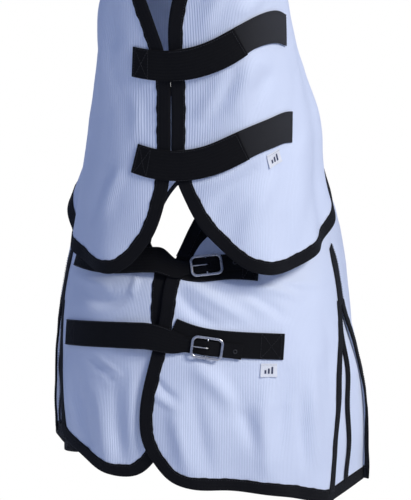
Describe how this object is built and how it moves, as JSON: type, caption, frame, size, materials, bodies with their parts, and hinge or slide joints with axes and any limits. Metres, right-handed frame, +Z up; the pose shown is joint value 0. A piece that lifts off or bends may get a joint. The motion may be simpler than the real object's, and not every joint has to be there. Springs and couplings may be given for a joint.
{
  "type": "horse fly sheet",
  "caption": "White knitted-mesh horse fly sheet with separate neck cover, black binding, buckled chest straps, hook-and-loop neck straps, shoulder gussets, belly straps and tail flap.",
  "frame": {"origin": "the withers, on the inner face of the spine line, where the sheet hangs on the horse", "axes": "+Z up, the horse faces -Y, its left side is +X"},
  "size_m": [0.6679, 2.133, 1.4675],
  "materials": {
    "mesh_fabric": "white ribbed knitted polyester mesh",
    "binding_tape": "black woven binding tape",
    "strap_webbing": "black woven webbing and hook-and-loop tape",
    "woven_label": "white woven satin label",
    "plated_steel": "nickel plated",
    "black_plastic": "matte moulded"
  },
  "bodies": {
    "root": {"body_panel_left": "mesh_fabric", "body_panel_right": "mesh_fabric", "buckle_lower": "plated_steel", "buckle_upper": "plated_steel", "chape_lower": "strap_webbing", "chape_upper": "strap_webbing", "crest_tape": "binding_tape", "front_binding_left": "binding_tape", "front_binding_right": "binding_tape", "gusset_front_tape_left": "binding_tape", "gusset_front_tape_right": "binding_tape", "gusset_hem_left": "binding_tape", "gusset_hem_right": "binding_tape", "gusset_left": "mesh_fabric", "gusset_patch_left": "binding_tape", "gusset_patch_right": "binding_tape", "gusset_rear_tape_left": "binding_tape", "gusset_rear_tape_right": "binding_tape", "gusset_right": "mesh_fabric", "gusset_seam_tape_left": "binding_tape", "gusset_seam_tape_right": "binding_tape", "lower_chest_strap": "strap_webbing", "lower_chest_tape": "strap_webbing", "neck_binding_left": "binding_tape", "neck_binding_right": "binding_tape", "neck_loop_strip_lower": "strap_webbing", "neck_loop_strip_upper": "strap_webbing", "neck_panel_left": "mesh_fabric", "neck_panel_right": "mesh_fabric", "neck_strap_lower": "strap_webbing", "neck_strap_upper": "strap_webbing", "neckline_binding_left": "binding_tape", "neckline_binding_right": "binding_tape", "rear_binding_left": "binding_tape", "rear_binding_right": "binding_tape", "size_label_body": "woven_label", "size_label_neck": "woven_label", "slot_plate_front": "plated_steel", "slot_plate_rear": "plated_steel", "spine_tape": "binding_tape", "surcingle_anchor_front": "strap_webbing", "surcingle_anchor_rear": "strap_webbing", "surcingle_front": "strap_webbing", "surcingle_hook_front": "plated_steel", "surcingle_hook_rear": "plated_steel", "surcingle_rear": "strap_webbing", "upper_chest_strap": "strap_webbing", "upper_chest_tape": "strap_webbing", "withers_tie_left": "strap_webbing", "withers_tie_right": "strap_webbing"},
    "prong_upper": {"prong_upper": "plated_steel"},
    "prong_lower": {"prong_lower": "plated_steel"},
    "neck_tab_upper": {"neck_tab_upper": "strap_webbing"},
    "neck_tab_lower": {"neck_tab_lower": "strap_webbing"},
    "surcingle_slider_front": {"surcingle_slider_front": "black_plastic"},
    "surcingle_slider_rear": {"surcingle_slider_rear": "black_plastic"},
    "tail_flap": {"tail_flap": "mesh_fabric", "tail_flap_binding": "binding_tape"}
  },
  "joints": [
    {"name": "prong_upper_hinge", "type": "hinge", "parent": "root", "child": "prong_upper", "pos_m": [0.02325, -0.50429, -0.38173], "axis": [-0.1431, 0.3956, 0.9072], "range_deg": [0, 60]},
    {"name": "prong_lower_hinge", "type": "hinge", "parent": "root", "child": "prong_lower", "pos_m": [0.02585, -0.53212, -0.53674], "axis": [0.1419, 0.0127, 0.9898], "range_deg": [0, 60]},
    {"name": "neck_tab_upper_peel", "type": "hinge", "parent": "root", "child": "neck_tab_upper", "pos_m": [-0.05708, -0.68436, -0.02045], "axis": [-0.0095, 0.4678, -0.8838], "range_deg": [0, 95]},
    {"name": "neck_tab_lower_peel", "type": "hinge", "parent": "root", "child": "neck_tab_lower", "pos_m": [-0.0636, -0.60881, -0.19285], "axis": [-0.1335, 0.3227, -0.937], "range_deg": [0, 95]},
    {"name": "tail_flap_swing", "type": "hinge", "parent": "root", "child": "tail_flap", "pos_m": [0, 1.242, -0.158], "axis": [1, 0, 0], "range_deg": [0, 90]},
    {"name": "surcingle_slider_front_slide", "type": "slide", "parent": "root", "child": "surcingle_slider_front", "axis": [-0.9076, 0.0301, -0.4188], "range_m": [-0.03, 0.045]},
    {"name": "surcingle_slider_rear_slide", "type": "slide", "parent": "root", "child": "surcingle_slider_rear", "axis": [-0.9078, -0.016, -0.4191], "range_m": [-0.03, 0.045]}
  ]
}
